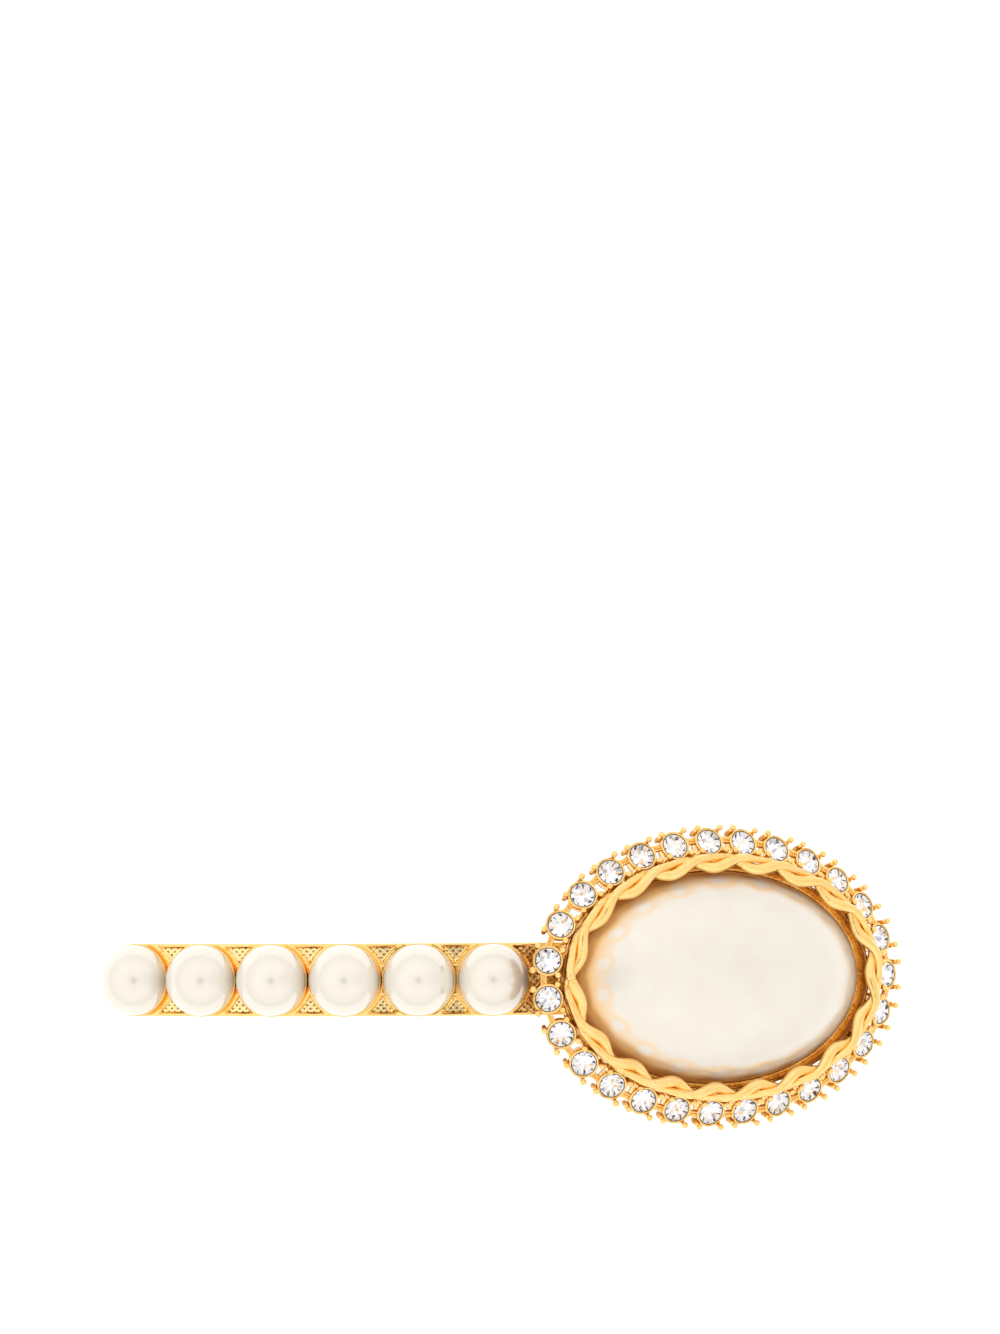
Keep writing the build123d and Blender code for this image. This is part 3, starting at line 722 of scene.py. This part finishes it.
linkSection = [(-0.4, -0.5), (-0.4, -0.06), (-0.35, 0.0), (-0.27, 0.02), (-0.2, -0.02), (-0.15, -0.08),
               (0.15, -0.08), (0.2, -0.02), (0.27, 0.02), (0.35, 0.0), (0.4, -0.06), (0.4, -0.5)]
for index in range(halo["stones"]):
    place = haloMatrix((index + 0.5) / halo["stones"])
    rows = []
    for end in (-1, -0.5, 0, 0.5, 1):
        pinch = 1 - 0.12 * (1 - end * end)
        rows.append([(end * halo["linkLength"] / 2, across * pinch - halo["linkOut"], height)
                     for across, height in linkSection])
    haloShape.grid(rows, place=place, capStart=True, capEnd=True)
    for bead in (-0.36, -0.12, 0.12, 0.36):
        dome = [(halo["bead"] * math.cos(math.radians(a)), halo["bead"] * math.sin(math.radians(a)) - 0.06)
                for a in (0, 30, 60, 85)]
        haloShape.lathe(dome, 10, place=place @ Matrix.Translation((bead, -halo["linkOut"], 0)))
    arch = []
    for step in range(13):
        turn = math.pi * step / 12
        arch.append(Vector((-halo["archHalf"] * math.cos(turn),
                            halo["archIn"] + halo["archBow"] * math.sin(turn),
                            -halo["archDrop"] - halo["archDip"] * math.sin(turn))))
    haloShape.tube(arch, [halo["archWire"]] * len(arch), 10, Vector((0, 0, 1)), place=place)

gallerySection = [(-0.4, halo["galleryFoot"]), (0.0, halo["galleryFoot"]), (0.0, 2.2), (-0.1, 2.36),
                  (-0.2, halo["galleryTop"]), (-0.35, halo["galleryTop"]), (-0.4, 2.3)]
galleryTrack = ellipseTrack(halo["halfLength"] - halo["galleryInset"],
                            halo["halfWidth"] - halo["galleryInset"])[0]
galleryRows = []
for i in range(192):
    spot, along, outward = galleryTrack(i / 192)
    galleryRows.append([spot + outward * reach + Vector((0, 0, height))
                        for reach, height in gallerySection])
haloShape.grid(galleryRows, closedRows=True, place=medallion)
for index in range(halo["stones"]):
    spot, along, outward = haloTrack(index / halo["stones"])
    rows = []
    for reach, foot, top in ((halo["strutReach"], 1.32, 2.2), (1.6, 1.32, 2.1), (0.7, 1.5, 2.2)):
        middle = spot - outward * reach
        half = along * halo["strutWidth"] / 2
        rows.append([middle + side * half * share + Vector((0, 0, height))
                     for side, share, height in ((-1, 1, foot), (1, 1, foot), (1, 1, top - 0.15),
                                                 (1, 0.8, top), (-1, 0.8, top), (-1, 1, top - 0.15))])
    haloShape.grid(rows, place=medallion, capStart=True, capEnd=True)
makePiece("crystalHalo", haloShape, [haloGold], nodes=["halo_setting"], sharpAngle=55)
print("halo made, pitch", round(haloRun / halo["stones"], 3))

# crystals: brilliant-cut tops over foiled points
stone = {
    "radius": 1.4, "girdle": 0.07, "crown": 0.45, "pavilion": 0.95,
    "table": 0.56, "star": 0.79, "lower": 0.5,
}
for index in range(halo["stones"]):
    place = haloMatrix(index / halo["stones"]) @ Matrix.Rotation(dice.uniform(0, tau / 8), 4, "Z")
    r = stone["radius"]

    def ringPoints(count, share, height, shift=0.0):
        turns = [tau * (k + shift) / count for k in range(count)]
        return [(r * share * math.cos(turn), r * share * math.sin(turn), height) for turn in turns]

    table = ringPoints(8, stone["table"], stone["crown"])
    star = ringPoints(8, stone["star"], stone["crown"] * 0.56, 0.5)
    girdleTop = ringPoints(16, 0.965, 0.03)
    girdleOut = ringPoints(16, 1.0, 0.0)
    girdleLow = ringPoints(16, 0.98, -stone["girdle"])
    lower = ringPoints(8, stone["lower"], -stone["pavilion"] * 0.68, 0.5)
    verts = table + star + girdleTop + girdleOut + girdleLow + lower + [(0, 0, -stone["pavilion"])]
    t, s, g, o, b, n, tip = 0, 8, 16, 32, 48, 64, 72
    crownFaces = [tuple(range(8))]
    girdleFaces, foilFaces = [], []
    for k in range(8):
        after = (k + 1) % 8
        crownFaces.append((t + k, s + k, t + after))
        crownFaces.append((t + k, s + (k - 1) % 8, g + 2 * k, s + k))
        crownFaces.append((s + k, g + 2 * k, g + 2 * k + 1))
        crownFaces.append((s + k, g + 2 * k + 1, g + (2 * k + 2) % 16))
        foilFaces.append((tip, n + (k - 1) % 8, b + 2 * k, n + k))
        foilFaces.append((n + k, b + 2 * k, b + 2 * k + 1))
        foilFaces.append((n + k, b + 2 * k + 1, b + (2 * k + 2) % 16))
    for k in range(16):
        after = (k + 1) % 16
        girdleFaces.append((g + k, o + k, o + after, g + after))
        girdleFaces.append((o + k, b + k, b + after, o + after))
    crystalShape = Shape()
    crystalShape.add(verts, crownFaces + girdleFaces + foilFaces, place)
    crystalShape.tones = [0] * len(crownFaces) + [2] * len(girdleFaces) + [1] * len(foilFaces)
    crystal = makePiece(f"crystal{index + 1:02d}", crystalShape,
                        [cutCrystal, foilPaintedSparkle, girdleGapShade],
                        nodes=[f"crystal_{index + 1:02d}"], smooth=False)
    facetMap = crystal.data.uv_layers.new(name="facetMap")
    for loop in crystal.data.loops:
        x, y, z = verts[loop.vertex_index]
        facetMap.data[loop.index].uv = (x / r, y / r)
print("crystals made")

# back plate: a flat oval with a rolled edge, under the oval pearl
plate = {"halfLength": 18.75, "halfWidth": 12.75, "foot": 0.5, "top": 1.3, "segments": 192}
plateTrack = ellipseTrack(plate["halfLength"], plate["halfWidth"])[0]
plateSection = [
    (-6.0, plate["foot"] + 0.15), (-1.6, plate["foot"] + 0.15), (-1.3, plate["foot"]),
    (-0.25, plate["foot"]), (0.0, plate["foot"] + 0.2), (0.0, plate["top"] - 0.15),
    (-0.15, plate["top"]), (-6.0, plate["top"]),
]
plateRows = []
for i in range(plate["segments"]):
    spot, along, outward = plateTrack(i / plate["segments"])
    plateRows.append([spot + outward * reach + Vector((0, 0, height)) for reach, height in plateSection])
plateShape = Shape()
plateShape.grid(plateRows, closedRows=True, closedRing=False, place=medallion)
ring = len(plateSection)
plateShape.faces.append([i * ring for i in range(plate["segments"])])
plateShape.faces.append([i * ring + ring - 1 for i in range(plate["segments"])])
plateShape.tones += [0, 0]
makePiece("medallionBackPlate", plateShape, [sheetGold],
          nodes=["medallion_back_plate"], sharpAngle=40)

# carried-over clip parts: gilt sheet metal with eased edges
clipEase = 0.08  # millimetres
clipFinish = {
    "clip_base": sheetGold, "clip_arm": sheetGold, "catch_plate": sheetGold, "catch_wing_left": springSteel,
    "catch_wing_right": springSteel, "bow_spring": springSteel, "hinge_pin": springSteel,
    "catch_rivet": springSteel, "bow_rivet": springSteel, "medallion_saddle": castGold,
}
for node, material in clipFinish.items():
    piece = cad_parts[node]
    piece.data.materials.clear()
    piece.data.materials.append(material)
    ease = piece.modifiers.new("easedEdges", "BEVEL")
    ease.width = clipEase * mm
    ease.segments = 2
    ease.limit_method = "ANGLE"
    ease.angle_limit = math.radians(40)
    ease.harden_normals = False
print("clip parts finished")

# floor, light and camera
studio = {
    "floor": 3.0, "floorDrop": 59.0, "floorColour": (0.86, 0.86, 0.86), "floorRough": 0.6, "glow": 0.3,
    "sky": 1.0, "lampAim": (0, 0, 0.01),
    "keyPower": 0.5, "keyPlace": (-0.35, 0.35, 0.55), "keySize": (0.5, 0.35),
    "fillPower": 0.2, "fillPlace": (0.45, -0.2, 0.45), "fillSize": (0.4, 0.4),
    "overhead": ((0, 0.1), (5, 0.3), (13, 1.0), (20, 1.15), (45, 1.3),
                 (62, 1.22), (76, 1.1), (88, 0.95), (180, 0.7)),
    "sideAim": (0.75, 0.1, 0.65), "sideShade": ((0, 0.72), (10, 0.78), (32, 1.0), (180, 1.0)),
}
floorShape = bpy.data.meshes.new("floor")
half = studio["floor"] / 2
floorCorners = [(-half, -half, 0), (half, -half, 0), (half, half, 0), (-half, half, 0)]
floorShape.from_pydata(floorCorners, [], [(0, 1, 2, 3)])
floorPiece = bpy.data.objects.new("floor", floorShape)
bpy.context.scene.collection.objects.link(floorPiece)
floorPiece.location.z = -studio["floorDrop"] * mm  # clear of the opened arm, which swings far below the bar
floorMaterial = bpy.data.materials.new("paleFloor")
floorMaterial.use_nodes = True
floorShader = floorMaterial.node_tree.nodes["Principled BSDF"]
floorShader.inputs["Base Color"].default_value = (*studio["floorColour"], 1)
floorShader.inputs["Roughness"].default_value = studio["floorRough"]
floorShader.inputs["Emission Color"].default_value = (1, 1, 1, 1)
floorShader.inputs["Emission Strength"].default_value = studio["glow"]
floorShape.materials.append(floorMaterial)

world = bpy.data.worlds.new("studio")
bpy.context.scene.world = world
world.use_nodes = True
sky = world.node_tree
background = sky.nodes["Background"]
background.inputs["Strength"].default_value = studio["sky"]
direction = sky.nodes.new("ShaderNodeTexCoord")


def skySpot(aim, levels):
    # brightness by angle in degrees from a direction, linear between the levels given
    toward = sky.nodes.new("ShaderNodeVectorMath")
    toward.operation = "DOT_PRODUCT"
    toward.inputs[1].default_value = Vector(aim).normalized()
    sky.links.new(direction.outputs["Generated"], toward.inputs[0])
    turn = sky.nodes.new("ShaderNodeMath")
    turn.operation = "ARCCOSINE"
    sky.links.new(toward.outputs["Value"], turn.inputs[0])
    ramp = sky.nodes.new("ShaderNodeValToRGB")
    share = sky.nodes.new("ShaderNodeMath")
    share.operation = "DIVIDE"
    share.inputs[1].default_value = math.pi
    sky.links.new(turn.outputs[0], share.inputs[0])
    sky.links.new(share.outputs[0], ramp.inputs["Fac"])
    stops = ramp.color_ramp.elements
    for stop, (degrees, tone) in zip(stops, (levels[0], levels[-1])):
        stop.position, stop.color = degrees / 180, (tone, tone, tone, 1)
    for degrees, tone in levels[1:-1]:
        stop = stops.new(degrees / 180)
        stop.color = (tone, tone, tone, 1)
    return ramp.outputs["Color"]


def skyProduct(first, second):
    product = sky.nodes.new("ShaderNodeVectorMath")
    product.operation = "MULTIPLY"
    sky.links.new(first, product.inputs[0])
    sky.links.new(second, product.inputs[1])
    return product.outputs[0]


overhead = skySpot((0, 0, 1), studio["overhead"])
sideShade = skySpot(studio["sideAim"], studio["sideShade"])
sky.links.new(skyProduct(overhead, sideShade), background.inputs["Color"])


def areaLight(name, place, aim, size, power):
    light = bpy.data.lights.new(name, "AREA")
    light.shape = "RECTANGLE"
    light.size, light.size_y = size
    light.energy = power
    lamp = bpy.data.objects.new(name, light)
    bpy.context.scene.collection.objects.link(lamp)
    lamp.location = place
    lamp.visible_glossy = False
    lamp.rotation_mode = "QUATERNION"
    lamp.rotation_quaternion = (Vector(place) - Vector(aim)).to_track_quat("Z", "Y")
    return lamp


areaLight("keyLight", studio["keyPlace"], studio["lampAim"], studio["keySize"], studio["keyPower"])
areaLight("fillLight", studio["fillPlace"], studio["lampAim"], studio["fillSize"], studio["fillPower"])

shot = {
    "lens": 196.46, "sensor": 36.0, "pitch": -1.23, "roll": 0.36,
    "place": (7.495, 35.904, 872.0), "frameShift": (-7.7605, 0.0, -55.7723),
}
pitched = Matrix.Rotation(math.radians(shot["pitch"]), 3, "X")
turned = pitched @ Matrix.Rotation(math.radians(shot["roll"]), 3, "Z")
lookAxes = turned.transposed()
lookPlace = (lookAxes @ Vector(shot["place"]) + Vector(shot["frameShift"])) * mm
cameraData = bpy.data.cameras.new("camera")
cameraData.lens = shot["lens"]
cameraData.sensor_width = shot["sensor"]
cameraData.clip_end = 50
camera = bpy.data.objects.new("camera", cameraData)
bpy.context.scene.collection.objects.link(camera)
camera.matrix_world = Matrix.Translation(lookPlace) @ lookAxes.to_4x4()
bpy.context.scene.camera = camera
bpy.context.scene.view_settings.view_transform = "Standard"
print("studio set")
